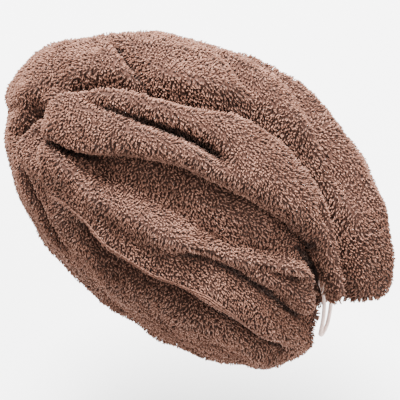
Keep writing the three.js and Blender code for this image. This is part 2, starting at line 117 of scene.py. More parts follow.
# Driving dimensions of the pile: its depth on the solids, and its strands' spacing and shape
PILE_DEPTH = 2.4
PILE_INSET = 3.1
PILE_SPACING = 1.55
PILE_HEIGHT = 2.3
PILE_REACH = 1.7
PILE_THICKNESS = 0.52
STRANDS_A_PIECE = 18000
COMBED_WAY = (0.5, 0.55, -0.55)

# How single strands differ: their turn off the comb in radians, and ranges as shares of a size
COMB_SPREAD = 0.5
HEIGHT_RANGE = (0.72, 1.28)
REACH_RANGE = (0.6, 1.4)
THICKNESS_RANGE = (0.8, 1.2)
TONE_SPREAD = 0.09

# Where a strand's shoulder is, as shares of its height and reach, its girth at the root and at
# the shoulder as shares of its thickness, and how light its root, shoulder and tip are: painted
# shade that darkens each strand towards its root, where the strands shade each other
SHOULDER_HEIGHT = 0.78
SHOULDER_REACH = 0.42
ROOT_GIRTH = 0.8
SHOULDER_GIRTH = 1.0
ROOT_SHADE_TONE = 0.12
SHOULDER_SHADE_TONE = 0.62
TIP_TONE = 1.0
LIGHTEST_TONE = 1.3

# How the strands are spread: how many steps measure a row, and where in its own length and
# spacing of rows a strand may stand
MEASURING_STEPS = 500
COLUMN_JITTER = (0.1, 0.9)
ROW_JITTER = (-0.5, 0.5)

# How much longer the outer cloth is than its base, how far the pile runs in under the tail, in
# millimetres and in shares along, and how near it comes to the tail's ends and edges
HOOD_STRETCH = 1.06
TAIL_STRETCH = 1.12
UNDER_EDGE = 6
UNDER_END = 0.03
TAIL_MARGIN = 0.004

# How far apart points are taken to find a skin's slope, in rows and in columns
HOOD_NUDGE = (0.0015, 0.25)
TAIL_NUDGE = (0.0012, 0.003)

# How far to each side a fold's walls are looked for, how deep it must be to be darkest, and by
# how much painted shade then darkens the yarn in it
WALL_LOOKS = (2.5, 5.0, 8.0, 11.0)
FOLD_SHADE_DEPTH = (1.0, 7.0)
PAINTED_FOLD_SHADE = 0.86

# The seam's threads: half their thickness and length, how far apart and how high they lie, how
# they stagger and stray, and how they bend, arch and round off
SEAM_THREAD = 0.42
SEAM_ROW_GAP = 1.0
SEAM_LIFT = 2.3
STITCH_HALF_LENGTH = 2.1
STITCH_SPACING = 3.0
STITCH_STAGGER = 0.3
STITCH_STRAY = 0.0006
STITCH_LOOK_AHEAD = 0.004
STITCH_BEND = 0.12
STITCH_ARCH = 0.45
STITCH_BLUNTNESS = 1.05
STITCH_STEPS = 5
STITCH_SIDES = 5

# Angles of the forehead edge and of the nape edge, and the rims in degrees round the head
FOREHEAD_ANGLE = -80.0
NAPE_ANGLE = 78.0
FRONT_SHARE = -0.045
RIM_LEFT = -6.0
RIM_RIGHT = 186.0

# Where the forms of the hood rise from none to all, in degrees round or in shares along
HEM_ALONG = (0.51, 0.89)
BAND_FALL_ROUND = (112, 160)
BAND_FALL = 0.65
SIDE_FALL_ROUND = (34, 2)
SIDE_FALL = 0.48
STRIPS_ALONG = (0.28, 0.25)
SEAM_ALONG = (0.34, 0.92)
LONG_FADE = 0.08
CROSS_FADE = 10
TAIL_FADE = 0.05
NARROWEST = 0.2

# Where the fastening sits, and the way that the free end of the loop hangs
BUTTON_ALONG = 0.915
BUTTON_ROUND = 88.0
LOOP_SWING = (0.74, 0.21, -0.65)

# Guide lines, as (share along, degrees round)
BAND_EDGE = [
    (0, 40), (0.07, 50), (0.14, 61), (0.18, 67), (0.24, 79), (0.28, 84), (0.32, 88), (0.38, 93),
    (0.46, 96), (0.52, 99), (0.57, 104), (0.64, 107), (0.71, 108.5), (0.79, 107), (0.85, 103.5),
    (0.9, 99), (0.98, 92), (1, 91),
]
TAIL_EDGE = [
    (0.26, 59), (0.31, 61), (0.36, 62), (0.41, 66), (0.45, 70), (0.49, 73), (0.54, 76), (0.6, 78),
    (0.7, 83), (0.76, 86), (0.82, 88), (0.87, 85), (0.92, 79), (1, 76),
]
LOBE_EDGE = [
    (0, 24), (0.07, 34), (0.14, 46), (0.2, 54), (0.24, 58), (0.28, 62), (0.32, 62), (0.36, 60),
    (0.4, 57), (0.46, 57), (0.54, 59), (0.65, 61), (0.72, 67), (0.77, 73), (0.82, 81), (0.86, 83),
    (0.9, 79), (0.95, 74), (1, 73),
]
SEAM_LINE = [
    (0.34, 40), (0.43, 42), (0.49, 40), (0.56, 40), (0.63, 42), (0.69, 44), (0.77, 40), (0.84, 34),
    (0.92, 32),
]

# How far the nape edge reaches back, as (degrees round, share of HEM_DROP)
HEM_LINE = [
    (40, -0.3), (66, -0.14), (76, -0.02), (84, 0), (95, 0), (106, 0.3), (118, 0.55), (132, 0.78),
    (146, 0.92), (158, 0.85), (170, 0.55), (186, 0.35),
]

# How full the rolled cloth is, as (share along, share of its full height)
SWELL_LINE = [
    (0, 0.6), (0.1, 0.72), (0.2, 0.95), (0.9, 1), (1, 0.9),
]

# How far the band takes to rise from its edge, as (share along, share of BAND_SLOPE)
RISE_LINE = [
    (0.62, 1), (0.72, 0.75), (0.82, 0.5), (1, 0.5),
]

# Folds from the forehead to the nape: (height, width left, width right, from, to, line), with
# heights as shares of FOLD_HEIGHT, widths as shares of FOLD_WIDTH and lines as the guides above
LONG_FOLDS = {
    "band outer roll": (0.3, 1.1, 1.2, 0.42, 0.98, [
        (0.4, 144), (0.5, 142), (0.58, 139), (0.64, 134), (0.7, 130), (0.78, 127), (1, 125)]),
    "band groove": (-1.3, 0.7, 0.7, 0.44, 0.84, [
        (0.46, 140), (0.5, 138), (0.58, 132), (0.64, 126), (0.69, 121), (0.73, 118), (0.78, 115),
        (0.86, 109)]),
    "band inner fold": (-0.6, 0.5, 0.6, 0.42, 0.66, [
        (0.46, 127), (0.5, 120), (0.56, 112), (0.6, 110)]),
    "band short fold": (-1.3, 0.5, 0.5, 0.27, 0.47, [
        (0.3, 117), (0.338, 109), (0.368, 104), (0.395, 101), (0.423, 98), (0.46, 94)]),
    "band pocket": (-0.6, 0.7, 1.2, 0.18, 0.42, [
        (0.18, 74), (0.24, 86), (0.31, 91), (0.35, 94), (0.4, 98)]),
    "forehead roll": (0.3, 2.6, 2.6, -0.1, 0.24, [
        (0, 96), (0.12, 104), (0.3, 112)]),
    "root swell": (0.6, 2.0, 0.9, 0.18, 0.42, [
        (0.2, 44), (0.26, 52), (0.32, 56), (0.4, 56)]),
    "lobe ridge": (0.5, 1.4, 0.6, 0.36, 0.97, [
        (0.36, 54), (0.54, 56), (0.65, 57), (0.72, 62), (0.77, 68), (0.82, 77), (0.86, 76), (1, 67)]),
    "lower lobe ridge": (0.3, 0.6, 0.5, 0.66, 0.97, [
        (0.66, 57), (0.77, 62), (0.82, 64), (0.88, 65), (0.94, 62), (1, 60)]),
    "lobe slot": (-0.9, 0.4, 0.4, 0.68, 1.02, [
        (0.7, 60), (0.76, 65), (0.8, 69), (0.86, 74), (0.9, 72), (0.95, 69), (1, 68)]),
    "valley floor": (0.2, 1.0, 1.0, 0.38, 0.84, [
        (0.36, 62), (0.46, 66), (0.54, 69), (0.62, 70), (0.7, 75), (0.78, 81)]),
    "lobe valley": (-1.2, 0.9, 0.9, 0.56, 1.02, [
        (0.56, 49), (0.62, 52), (0.67, 55), (0.73, 56), (0.81, 56), (0.88, 53), (0.95, 50), (1, 48)]),
    "seam lobe": (0.35, 0.8, 0.8, 0.40, 0.98, [
        (0.34, 41), (0.49, 41), (0.56, 40), (0.63, 42), (0.69, 43), (0.77, 40), (0.83, 36), (1, 36)]),
    "seam valley": (-1.2, 0.9, 0.7, 0.36, 0.94, [
        (0.38, 35), (0.44, 35), (0.5, 32), (0.57, 34), (0.68, 36), (0.78, 33), (0.86, 28),
        (0.92, 26)]),
    "nape lobe": (0.6, 3.0, 2.4, 0.80, 1.20, [
        (0.70, 6), (1, 6)]),
}

# Creases of the strips across the forehead, as above with lines as (degrees round, share along)
CROSS_FOLDS = {
    "outer crease": (-1.5, 0.7, 0.8, 14, 78, [
        (18, 0.36), (24, 0.32), (29, 0.278), (38, 0.228), (44, 0.19), (52, 0.185), (60, 0.193),
        (68, 0.205), (76, 0.225)]),
    "strip roll": (0.5, 0.6, 0.5, 34, 84, [
        (34, 0.27), (40, 0.24), (46, 0.222), (54, 0.222), (62, 0.228), (70, 0.238), (80, 0.258)]),
    "inner crease": (-1.5, 0.6, 0.6, 46, 88, [
        (46, 0.29), (50, 0.272), (54, 0.256), (60, 0.249), (68, 0.254), (74, 0.261), (80, 0.276),
        (86, 0.294)]),
}

# How full the tail is and how round its near edge, as (share along, share of the full size)
TAIL_SWELL = [
    (0.7, 1), (0.8, 0.97), (0.88, 0.86), (0.96, 0.78),
]
NEAR_ROUND = [
    (0.3, 0.25), (0.36, 0.35), (0.42, 1), (0.5, 1),
]

# The tail from root to tip, and its folds with lines as (share along, share across)
TAIL_ROOT = 0.265
TAIL_ROOT_FULL = 0.3
TAIL_TIP_FULL = 0.90
TAIL_TIP = 0.965
TAIL_FOLDS = {
    "main lobe": (0.4, 1.5, 1.5, 0.27, 0.68, [
        (0.3, 0.34), (0.45, 0.3), (0.6, 0.16), (0.7, 0.12)]),
    "upper lobe": (0.35, 1.9, 1.4, 0.2, 1.1, [
        (0.3, 0.95), (0.4, 0.86), (0.52, 0.74), (0.6, 0.56), (0.76, 0.46), (1, 0.5)]),
    "lobe groove": (-0.8, 0.5, 0.7, 0.3, 0.62, [
        (0.31, 0.9), (0.37, 0.72), (0.42, 0.62), (0.47, 0.54), (0.52, 0.46), (0.57, 0.33),
        (0.62, 0.24)]),
    "lobe notch": (-1.1, 0.6, 0.7, 0.42, 0.61, [
        (0.44, 0.58), (0.47, 0.54), (0.52, 0.46), (0.57, 0.33), (0.62, 0.24)]),
    "tip groove": (-1.0, 0.35, 0.45, 0.74, 0.9, [
        (0.74, 0.6), (0.78, 0.58), (0.84, 0.5), (0.9, 0.45)]),
}

# Colours of the terry, from the roots of its pile to the tips, and how light its parts are; the
# near-black root colour and the darker ground cloth are painted shade among and under the strands
ROOT_SHADE_COLOUR = (0.008, 0.0025, 0.0015, 1)
BODY_COLOUR = (0.100, 0.041, 0.026, 1)
TIP_COLOUR = (0.345, 0.170, 0.118, 1)
YARN_AND_SHADE_STOPS = [(0.0, ROOT_SHADE_COLOUR), (0.55, BODY_COLOUR), (1.0, TIP_COLOUR)]
SHEEN_COLOUR = (0.95, 0.72, 0.6, 1)
SHADED_GROUND_TONE = 0.35
LINING_TONE = 0.85
SEAM_TONE = 0.62

# The fine grain of the close-cropped ground: its scale and detail, stops and relief in metres
GRAIN_SCALE = 700
GRAIN_DETAIL = 3
GRAIN_STOPS = [(0.3, (0.3, 0.3, 0.3, 1)), (0.7, (1, 1, 1, 1))]
GRAIN_STRENGTH = 0.9
GRAIN_RELIEF = 0.0012

# Colours of the other pieces and of the floor
ELASTIC_COLOUR = (0.76, 0.55, 0.48, 1)
BUTTON_COLOUR = (0.25, 0.14, 0.10, 1)
FLOOR_COLOUR = (0.93, 0.93, 0.93, 1)

# The studio in metres: its floor, its daylight, and its lamps as (direction, distance, size, watts)
FLOOR_SIZE = 8
FLOOR_LEVEL = -0.42
DAYLIGHT = 1.5
LAMPS = {
    "key": ((-0.32, -0.36, 0.86), 1.6, 0.55, 190),
    "fill": ((-0.3, 0.75, 0.9), 1.8, 1.2, 50),
}

# How finely the cloth is divided: steps along, and round in the three fields between the guides
HOOD_STEPS = 172
FIELD_STEPS = (60, 30, 76)
FIELD_CROWDING = 1.35
TAIL_STEPS = 110
TAIL_RING_STEPS = 80
TAIL_TOP_SHARE = 0.72

# How finely the loop and the button are divided, how far apart points are taken to find the
# loop's course, and how square its band is
LOOP_SAMPLES = 200
LOOP_STEPS = 140
LOOP_SIDES = 12
LOOP_NUDGE = 0.3
LOOP_SQUARENESS = 0.5
BUTTON_SIDES = 48
BUTTON_EDGE = 0.6
BUTTON_EDGE_STEPS = 3
SHANK_OVERLAP = 0.2


def lerp(start, end, share):
    return start + (end - start) * share


def smooth(start, end, x):
    """Rises from 0 to 1 as x goes from start to end"""
    t = np.clip((x - start) / (end - start), 0, 1)
    return t * t * (3 - 2 * t)


def along(line, x):
    """Smooth curve through the points of a line, flat beyond its ends"""
    px, py = np.array(line, float).T
    slope = np.diff(py) / np.diff(px)
    tangent = np.concatenate([slope[:1], (slope[:-1] + slope[1:]) / 2, slope[-1:]])
    at = np.clip(x, px[0], px[-1])
    i = np.clip(np.searchsorted(px, at, side="right") - 1, 0, len(px) - 2)
    h = px[i + 1] - px[i]
    t = (at - px[i]) / h
    t2 = t * t
    t3 = t2 * t
    return (
        (2 * t3 - 3 * t2 + 1) * py[i]
        + (t3 - 2 * t2 + t) * h * tangent[i]
        + (3 * t2 - 2 * t3) * py[i + 1]
        + (t3 - t2) * h * tangent[i + 1]
    )


def gate(x, start, end, fade):
    """One inside the range, fading out over the last stretch at either end"""
    return smooth(start, start + fade, x) * (1 - smooth(end - fade, end, x))


def bump(distance, low, high):
    """One on the line, falling away over the two widths on its low and its high side"""
    return np.exp(-((distance / np.where(distance < 0, low, high)) ** 2))


def quarter(share):
    """A quarter circle's height at a share of its radius in from the edge"""
    return np.sqrt(1 - (1 - np.clip(share, 0, 1)) ** 2)


def unit(vectors):
    return vectors / np.maximum(np.linalg.norm(vectors, axis=-1, keepdims=True), 1e-12)


def drift(points, size, seed):
    """Smooth wandering value, about -1 to 1, that changes over distances of about size"""
    rng = np.random.default_rng(seed)
    total = np.zeros(points.shape[:-1])
    waves = 6
    for _ in range(waves):
        way = unit(rng.normal(size=3)) * rng.uniform(0.6, 1.5) * 2 * math.pi / size
        total += np.sin(points @ way + rng.uniform(0, 2 * math.pi))
    return total / math.sqrt(waves)


def wander(points, kind, share=1):
    """A wandering value by its name, or a share of it, at points in millimetres"""
    much, size, seed = WANDERING[kind]
    return share * much * drift(points, size, seed)


def station(s):
    """The angle from straight up, forwards or backwards, at a share along"""
    return np.radians(lerp(FOREHEAD_ANGLE, NAPE_ANGLE, s))


# Millimetres of cloth for one degree round the head, and for the whole way along it
ROUND_LENGTH = math.radians(1) * ((HEAD_HALF_WIDTH + HEAD_HEIGHT) / 2 + WALL + BAND_HEIGHT)
ALONG_LENGTH = (
    math.radians(NAPE_ANGLE - FOREHEAD_ANGLE) * ((HEAD_FRONT + HEAD_BACK) / 2 + HEAD_HEIGHT) / 2)


def round_scale(s):
    """Millimetres of cloth for one degree round the head at a share along"""
    return ROUND_LENGTH * np.maximum(np.cos(station(s)), NARROWEST)


def on_head(s, turn, height):
    """Points the given height outside the head, and the way straight out of it, in millimetres"""
    s, turn, height = np.broadcast_arrays(np.asarray(s, float), turn, height)
    psi = station(s)
    phi = np.radians(turn)
    reach = np.sin(psi)
    girth = np.cos(psi)
    wider = 1 + reach * np.where(np.cos(phi) > 0, WIDER_BEHIND_LEFT, WIDER_BEHIND_RIGHT)
    behind = np.maximum(reach, 0)
    drop = HEM_DROP * along(HEM_LINE, turn) * smooth(*HEM_ALONG, s)
    half = np.where(reach < 0, HEAD_FRONT, HEAD_BACK + drop)
    x = HEAD_HALF_WIDTH * wider * girth * np.cos(phi)
    y = half * reach
    z = HEAD_HEIGHT * girth * np.sin(phi)
    out = unit(np.stack([x / HEAD_HALF_WIDTH**2, y / half**2, z / HEAD_HEIGHT**2], -1))
    shifted = x + NAPE_SHIFT_LEFT * behind * behind
    point = np.stack([shifted, y + HEAD_CENTRE_BACK, z - HEAD_HEIGHT], -1)
    return point + out * height[..., None], out


def hood_height(s, turn, inset=0.0):
    """Height of the hood's cloth outside the head, its sides drawn in to leave room for pile"""
    s, turn = np.broadcast_arrays(s, turn)
    scale = round_scale(s)
    rise = BAND_SLOPE * along(RISE_LINE, s)
    on_band = smooth(0, rise, (turn - along(BAND_EDGE, s)) * scale - inset)
    on_lobe = smooth(0, LOBE_SLOPE, (along(LOBE_EDGE, s) - turn) * scale - inset)
    on_strips = smooth(*STRIPS_ALONG, s) * (1 - on_band) * (1 - on_lobe)
    swell = along(SWELL_LINE, s)
    height = BED_HEIGHT + swell * SIDE_HEIGHT * on_strips
    height = height + swell * BAND_HEIGHT * on_band * (1 - BAND_FALL * smooth(*BAND_FALL_ROUND, turn))
    height = height + swell * SIDE_HEIGHT * on_lobe * (1 - SIDE_FALL * smooth(*SIDE_FALL_ROUND, turn))
    for high, left, right, start, end, line in LONG_FOLDS.values():
        distance = (turn - along(line, s)) * scale
        wider = inset if high < 0 else 0
        fold = bump(distance, left * FOLD_WIDTH + wider, right * FOLD_WIDTH + wider)
        height = height + FOLD_HEIGHT * high * gate(s, start, end, LONG_FADE) * fold
    for high, front, back, start, end, line in CROSS_FOLDS.values():
        distance = (s - along(line, turn)) * ALONG_LENGTH
        wider = inset if high < 0 else 0
        fold = bump(distance, front * FOLD_WIDTH + wider, back * FOLD_WIDTH + wider)
        height = height + FOLD_HEIGHT * high * gate(turn, start, end, CROSS_FADE) * fold
    return WALL + np.maximum(height, 0)


def hood_skin(s, turn):
    """The hood's outer cloth under its pile, with its hem and small wrinkles, in metres"""
    s, turn = np.broadcast_arrays(np.asarray(s, float), turn)
    from_rim = np.minimum(turn - RIM_LEFT, RIM_RIGHT - turn) * round_scale(s)
    from_end = np.minimum(s - FRONT_SHARE, 1 - s) * ALONG_LENGTH
    hem = quarter(np.minimum(from_rim, from_end) / HEM_ROUND)
    wrinkled = hood_height(s, turn, PILE_INSET) - PILE_DEPTH
    where, _ = on_head(s, turn, wrinkled)
    wrinkled = wrinkled + wander(where, "hood wrinkle")
    wrinkled = wrinkled + wander(where, "hood pucker")
    point, _ = on_head(s, turn, lerp(HEM_THICKNESS - HEM_INSET, wrinkled, hem))
    return point * MM


def tail_span(s):
    """The tail's middle line and half width in degrees round, and how full its ends are"""
    near = along(TAIL_EDGE, s)
    far = along(BAND_EDGE, s) - TAIL_EDGE_GAP / round_scale(s)
    tip = np.maximum(s - TAIL_TIP_FULL, 0) / (TAIL_TIP - TAIL_TIP_FULL)
    root = np.maximum(TAIL_ROOT_FULL - s, 0) / (TAIL_ROOT_FULL - TAIL_ROOT)
    full = quarter(1 - np.maximum(tip, root))
    return (near + far) / 2, (far - near) / 2 * full, full


def drawn_in(s):
    """The tail's middle line and half width in degrees round, less the room for its pile"""
    middle, half, full = tail_span(s)
    return middle, half - PILE_INSET * full / round_scale(s)


def tail_top(s, across):
    """Height of the tail's upper face outside the head, and how round and full it is there"""
    _, half, full = tail_span(s)
    width = 2 * half * round_scale(s)
    near_round = np.maximum(np.minimum(TAIL_EDGE_ROUND * along(NEAR_ROUND, s), width / 2), 1e-6)
    far_round = np.maximum(np.minimum(TAIL_EDGE_ROUND, width / 2), 1e-6)
    rounding = quarter(np.minimum(across * width / near_round, (1 - across) * width / far_round))
    height = TAIL_THICKNESS * along(TAIL_SWELL, s)
    for high, low_side, high_side, start, end, line in TAIL_FOLDS.values():
        distance = (across - along(line, s)) * width
        fold = bump(distance, low_side * FOLD_WIDTH, high_side * FOLD_WIDTH)
        height = height + FOLD_HEIGHT * high * gate(s, start, end, TAIL_FADE) * fold
    roundness = full * rounding
    return WALL + BED_HEIGHT + TAIL_GAP + height * roundness, roundness


def tail_skin(s, across, under):
    """The tail's cloth under its pile at a share across it, on its upper or its under side"""
    s, across = np.broadcast_arrays(np.asarray(s, float), across)
    middle, half = drawn_in(s)
    turn = middle + (2 * across - 1) * half
    bed = np.maximum(hood_height(s, turn), WALL + BED_HEIGHT)
    top, roundness = tail_top(s, across)
    where, _ = on_head(s, turn, top)
    wrinkled = top - PILE_DEPTH * roundness
    wrinkled = wrinkled + wander(where, "tail wrinkle", roundness)
    wrinkled = wrinkled + wander(where, "tail pucker", roundness)
    upper = np.maximum(wrinkled, bed + TAIL_LEAST - PILE_DEPTH)
    lower = np.minimum(bed - PILE_DEPTH, upper - TAIL_CLOTH_LEAST)
    point, _ = on_head(s, turn, np.where(under, lower, upper))
    return point * MM


def outside_height(s, turn):
    """Height of what lies outermost, the hood's or the tail's cloth"""
    middle, half = drawn_in(s)
    across = 0.5 + (turn - middle) / (2 * np.maximum(half, 1e-6))
    top, _ = tail_top(s, np.clip(across, 0, 1))
    on_tail = (across > 0) & (across < 1) & (s > TAIL_ROOT) & (s < TAIL_TIP)
    return np.maximum(hood_height(s, turn, PILE_INSET), np.where(on_tail, top, 0))


def fold_shade_factor(s, turn):
    """Painted shade: 1 in the open, less the deeper a place lies between the folds beside it"""
    here = outside_height(s, turn)
    depth = np.zeros_like(here)
    for step_s, step_turn in ((0, 1 / round_scale(s)), (1 / ALONG_LENGTH, 0)):
        walls = []
        for sign in (-1, 1):
            looks = [outside_height(s + sign * far * step_s, turn + sign * far * step_turn)
                     for far in WALL_LOOKS]
            walls.append(np.maximum.reduce(looks))
        depth = np.maximum(depth, np.minimum(*walls) - here)
    return 1 - PAINTED_FOLD_SHADE * smooth(*FOLD_SHADE_DEPTH, depth)


def deselect():
    for obj in bpy.context.selected_objects:
        obj.select_set(False)


def newest(name):
    obj = bpy.context.active_object
    obj.name = name
    obj.data.name = name
    return obj


def vertex_array(obj):
    flat = np.empty(len(obj.data.vertices) * 3)
    obj.data.vertices.foreach_get("co", flat)
    return flat.reshape(-1, 3)


def move_vertices(obj, points):
    obj.data.vertices.foreach_set("co", np.ascontiguousarray(points, float).ravel())
    obj.data.update()


def mark_tone(obj, tones):
    """Gives each vertex its lightness with painted shade, from the pile's roots (0) to its tips (1)"""
    attribute = obj.data.attributes.new("tone", "FLOAT", "POINT")
    attribute.data.foreach_set("value", np.ascontiguousarray(tones, np.float32).ravel())


def apply_modifier(obj, kind, **settings):
    modifier = obj.modifiers.new(kind.lower(), kind)
    for key, value in settings.items():
        setattr(modifier, key, value)
    bpy.context.view_layer.objects.active = obj
    bpy.ops.object.modifier_apply(modifier=modifier.name)


def column_turn(s, share):
    """Degrees round the head at a share of the columns, spread over the three fields"""
    lobe = along(LOBE_EDGE, s)
    band = along(BAND_EDGE, s)
    column = share * sum(FIELD_STEPS)
    first = FIELD_STEPS[0]
    second = first + FIELD_STEPS[1]
    left = np.clip(column / first, 0, 1)
    middle = np.clip((column - first) / FIELD_STEPS[1], 0, 1)
    right = np.clip((column - second) / FIELD_STEPS[2], 0, 1)
    turn = lerp(RIM_LEFT, lobe, 1 - (1 - left) ** FIELD_CROWDING)
    turn = turn + (band - lobe) * middle
    return turn + (RIM_RIGHT - band) * right ** FIELD_CROWDING


def make_hood():
    """A grid laid over the head as the outer cloth, given a second wall that lines the hollow"""
    deselect()
    bpy.ops.mesh.primitive_grid_add(x_subdivisions=sum(FIELD_STEPS), y_subdivisions=HOOD_STEPS, size=1)
    obj = newest("hood_cloth")
    flat = vertex_array(obj)
    s = lerp(FRONT_SHARE, 1, 0.5 - flat[:, 1])
    turn = column_turn(s, flat[:, 0] + 0.5)
    outer = hood_skin(s, turn)
    move_vertices(obj, outer)
    apply_modifier(obj, "SOLIDIFY", thickness=WALL * MM, offset=-1, use_rim=True)
    inner, _ = on_head(s, turn, HOLLOW_LINING + wander(outer / MM, "lining"))
    move_vertices(obj, np.concatenate([outer, inner * MM]))
    # painted shade: the ground cloth is darkened, and darker still deep in the folds
    fold_shaded_ground = SHADED_GROUND_TONE * fold_shade_factor(s, turn)
    mark_tone(obj, np.concatenate([fold_shaded_ground, np.full(len(outer), LINING_TONE)]))
    return obj


def make_tail():
    """A ball drawn out along the tail, its poles at the root and the tip"""
    deselect()
    bpy.ops.mesh.primitive_uv_sphere_add(segments=TAIL_RING_STEPS, ring_count=TAIL_STEPS, radius=1)
    obj = newest("tail_cloth")
    ball = vertex_array(obj)
    along_share = np.arccos(np.clip(ball[:, 2], -1, 1)) / math.pi
    ring_share = np.mod(np.arctan2(ball[:, 1], ball[:, 0]) / (2 * math.pi), 1)
    s = lerp(TAIL_ROOT, TAIL_TIP, along_share)
    under = ring_share > TAIL_TOP_SHARE
    over_top = 0.5 - 0.5 * np.cos(math.pi * ring_share / TAIL_TOP_SHARE)
    over_top = lerp(ring_share / TAIL_TOP_SHARE, over_top, 0.5)
    below = 1 - (ring_share - TAIL_TOP_SHARE) / (1 - TAIL_TOP_SHARE)
    move_vertices(obj, tail_skin(s, np.where(under, below, np.clip(over_top, 0, 1)), under))
    # painted shade: the tail's ground cloth is darkened as if shaded by its pile
    mark_tone(obj, np.full(len(ball), SHADED_GROUND_TONE))
    return obj


def rows_of_roots(skin, span, edges, rng):
    """Places for strands as (row, column), spread evenly over a skin between edges of columns

    The span is the first row, the last row, and the millimetres between them.
    """
    first, last, length = span
    low, high = edges
    rows = int(length / PILE_SPACING)
    found = []
    for r in range(rows):
        row = lerp(first, last, (r + 0.5) / rows)
        fine = np.linspace(low, high, MEASURING_STEPS)
        line = skin(np.full(fine.shape, row), fine)
        travelled = np.concatenate([[0], np.cumsum(np.linalg.norm(np.diff(line, axis=0), axis=1))])
        count = int(travelled[-1] / (PILE_SPACING * MM))
        if count < 1:
            continue
        at = (np.arange(count) + rng.uniform(*COLUMN_JITTER, count)) / count * travelled[-1]
        column = np.interp(at, travelled, fine)
        jittered = row + rng.uniform(*ROW_JITTER, count) * (last - first) / rows
        found.append(np.stack([jittered, column], -1))
    return np.concatenate(found)


def frames_on(skin, rows, columns, nudge, outside):
    """Points on a skin and its normals there, turned to the outside"""
    row_step, column_step = nudge
    point = skin(rows, columns)
    row_way = skin(rows + row_step, columns) - skin(rows - row_step, columns)
    column_way = skin(rows, columns + column_step) - skin(rows, columns - column_step)
    normal = unit(np.cross(row_way, column_way))
    return point, normal * np.where((normal * outside).sum(-1) < 0, -1, 1)[:, None]


def pile_mesh(name, point, normal, light, rng):
    """Short three-sided strands, each rising from its point to a shoulder and combed to a tip"""
    count = len(point)
    combed = np.array(COMBED_WAY) + np.zeros((count, 3))
    combed = unit(combed - normal * (combed * normal).sum(-1, keepdims=True))
    other = np.cross(normal, combed)
    angle = wander(point / MM, "comb swing") + wander(point / MM, "comb curl")
    angle = angle + rng.normal(0, COMB_SPREAD, count)
    way = combed * np.cos(angle)[:, None] + other * np.sin(angle)[:, None]
    side = np.cross(normal, way)
    tuft = 1 + wander(point / MM, "tuft")
    height = PILE_HEIGHT * MM * (tuft * rng.uniform(*HEIGHT_RANGE, count))[:, None]
    reach = PILE_REACH * MM * rng.uniform(*REACH_RANGE, count)[:, None]
    thick = PILE_THICKNESS * MM * rng.uniform(*THICKNESS_RANGE, count)[:, None]
    root = point - normal * thick
    shoulder = point + normal * height * SHOULDER_HEIGHT + way * reach * SHOULDER_REACH
    tip = point + normal * height + way * reach
    sides = 3
    tip_corner = 2 * sides
    corners = tip_corner + 1
    points = np.empty((count, corners, 3))
    for ring, (centre, onward, girth) in enumerate((
        (root, normal, ROOT_GIRTH),
        (shoulder, unit(tip - root), SHOULDER_GIRTH),
    )):
        across = unit(side - onward * (side * onward).sum(-1, keepdims=True))
        upward = np.cross(onward, across)
        for k in range(sides):
            a = math.pi / 2 + 2 * math.pi * k / sides
            offset = across * math.cos(a) + upward * math.sin(a)
            points[:, sides * ring + k] = centre + offset * thick * girth
    points[:, tip_corner] = tip
    quads = []
    triangles = []
    for k in range(sides):
        after = (k + 1) % sides
        quads.append((k, after, sides + after, sides + k))
        triangles.append((sides + k, sides + after, tip_corner))
    triangles.append((2, 1, 0))
    base = (np.arange(count) * corners)[:, None, None]
    all_quads = (np.array(quads)[None] + base).reshape(-1, 4)
    all_triangles = (np.array(triangles)[None] + base).reshape(-1, 3)
    obj = joined_mesh(name, points.reshape(-1, 3), all_quads, all_triangles)
    tone = rng.normal(1, TONE_SPREAD, count) + wander(point / MM, "broad tone")
    tone = tone + wander(point / MM, "fine tone")
    # painted shade: each strand darkens towards its root, and the whole strand darkens deep in the
    # folds
    corner_shade_tones = np.array([ROOT_SHADE_TONE] * sides + [SHOULDER_SHADE_TONE] * sides + [TIP_TONE])
    mark_tone(obj, np.clip((tone * light)[:, None] * corner_shade_tones[None], 0, LIGHTEST_TONE))
    return obj


def joined_mesh(name, points, quads, triangles):
    """One smooth mesh from its points, four-sided faces and three-sided faces"""
    mesh = bpy.data.meshes.new(name)
    corners = np.concatenate([quads.ravel(), triangles.ravel()]).astype(np.int32)
    sizes = np.concatenate([np.full(len(quads), 4), np.full(len(triangles), 3)])
    starts = np.concatenate([[0], np.cumsum(sizes)[:-1]]).astype(np.int32)
    mesh.vertices.add(len(points))
    mesh.vertices.foreach_set("co", points.ravel().astype(np.float32))
    mesh.loops.add(len(corners))
    mesh.loops.foreach_set("vertex_index", corners)
    mesh.polygons.add(len(sizes))
    mesh.polygons.foreach_set("loop_start", starts)
    mesh.polygons.foreach_set("use_smooth", np.ones(len(sizes), bool))
    mesh.update(calc_edges=True)
    mesh.validate()
    obj = bpy.data.objects.new(name, mesh)
    bpy.context.scene.collection.objects.link(obj)
    return obj


def make_hood_pile(rng):
    """Pile all over the hood's outside, apart from what the tail covers"""
    span = (FRONT_SHARE, 1.0, ALONG_LENGTH * (1 - FRONT_SHARE) * HOOD_STRETCH)
    s, turn = rows_of_roots(hood_skin, span, (RIM_LEFT, RIM_RIGHT), rng).T
    margin = UNDER_EDGE / round_scale(s)
    covered = (turn > along(TAIL_EDGE, s) + margin) & (turn < along(BAND_EDGE, s) - margin)
    covered &= (s > TAIL_ROOT + UNDER_END) & (s < TAIL_TIP - UNDER_END)
    s, turn = s[~covered], turn[~covered]
    _, out = on_head(s, turn, 0)
    point, normal = frames_on(hood_skin, s, turn, HOOD_NUDGE, out)
    # painted shade for the strands that lie deep in the folds
    light = fold_shade_factor(s, turn)
    pieces = []
    order = rng.permutation(len(point))
    for part, chosen in enumerate(np.array_split(order, math.ceil(len(order) / STRANDS_A_PIECE))):
        name = f"hood_pile_{part + 1}"
        pieces.append(pile_mesh(name, point[chosen], normal[chosen], light[chosen], rng))
    return pieces


